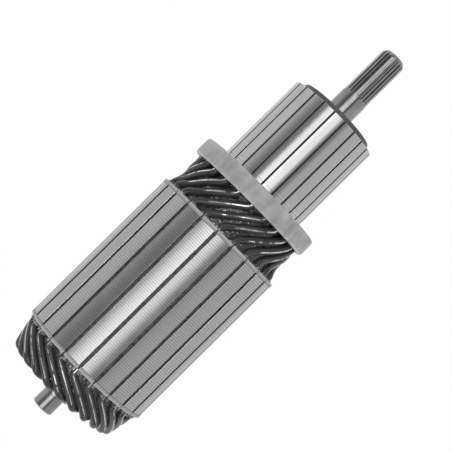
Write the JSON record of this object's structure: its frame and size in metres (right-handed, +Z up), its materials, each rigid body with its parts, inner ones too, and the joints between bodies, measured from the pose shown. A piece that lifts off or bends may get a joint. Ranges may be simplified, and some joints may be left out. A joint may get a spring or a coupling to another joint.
{
  "type": "motor armature",
  "caption": "Wound motor armature: slotted steel core, round-wire hairpin winding, copper commutator and a shaft with a splined drive end.",
  "frame": {"origin": "on the shaft's axis, halfway between the shaft's two ends", "axes": "+X along the shaft towards the splined drive end, +Z up as the armature lies on its core"},
  "size_m": [0.1888, 0.057, 0.057],
  "materials": {
    "shaft_steel": "satin",
    "core_steel": "satin",
    "end_fibre": "matte",
    "liner_paper": "matte",
    "varnished_wire": "gloss",
    "commutator_copper": "satin",
    "mica": "matte",
    "dark_moulding": "matte",
    "band_resin": "satin"
  },
  "bodies": {
    "root": {"shaft": "shaft_steel", "lamination_stack": "core_steel", "rear_end_insulator": "end_fibre", "front_end_insulator": "end_fibre", "slot_liners": "liner_paper", "commutator_moulding": "dark_moulding", "commutator_bush": "shaft_steel", "mica_strips": "mica", "riser_band": "band_resin", "commutator_bar_01": "commutator_copper", "commutator_bar_02": "commutator_copper", "commutator_bar_03": "commutator_copper", "commutator_bar_04": "commutator_copper", "commutator_bar_05": "commutator_copper", "commutator_bar_06": "commutator_copper", "commutator_bar_07": "commutator_copper", "commutator_bar_08": "commutator_copper", "commutator_bar_09": "commutator_copper", "commutator_bar_10": "commutator_copper", "commutator_bar_11": "commutator_copper", "commutator_bar_12": "commutator_copper", "commutator_bar_13": "commutator_copper", "commutator_bar_14": "commutator_copper", "commutator_bar_15": "commutator_copper", "commutator_bar_16": "commutator_copper", "commutator_bar_17": "commutator_copper", "commutator_bar_18": "commutator_copper", "commutator_bar_19": "commutator_copper", "commutator_bar_20": "commutator_copper", "commutator_bar_21": "commutator_copper", "commutator_bar_22": "commutator_copper", "commutator_bar_23": "commutator_copper", "coil_01": "varnished_wire", "coil_02": "varnished_wire", "coil_03": "varnished_wire", "coil_04": "varnished_wire", "coil_05": "varnished_wire", "coil_06": "varnished_wire", "coil_07": "varnished_wire", "coil_08": "varnished_wire", "coil_09": "varnished_wire", "coil_10": "varnished_wire", "coil_11": "varnished_wire", "coil_12": "varnished_wire", "coil_13": "varnished_wire", "coil_14": "varnished_wire", "coil_15": "varnished_wire", "coil_16": "varnished_wire", "coil_17": "varnished_wire", "coil_18": "varnished_wire", "coil_19": "varnished_wire", "coil_20": "varnished_wire", "coil_21": "varnished_wire", "coil_22": "varnished_wire", "coil_23": "varnished_wire"}
  },
  "joints": []
}
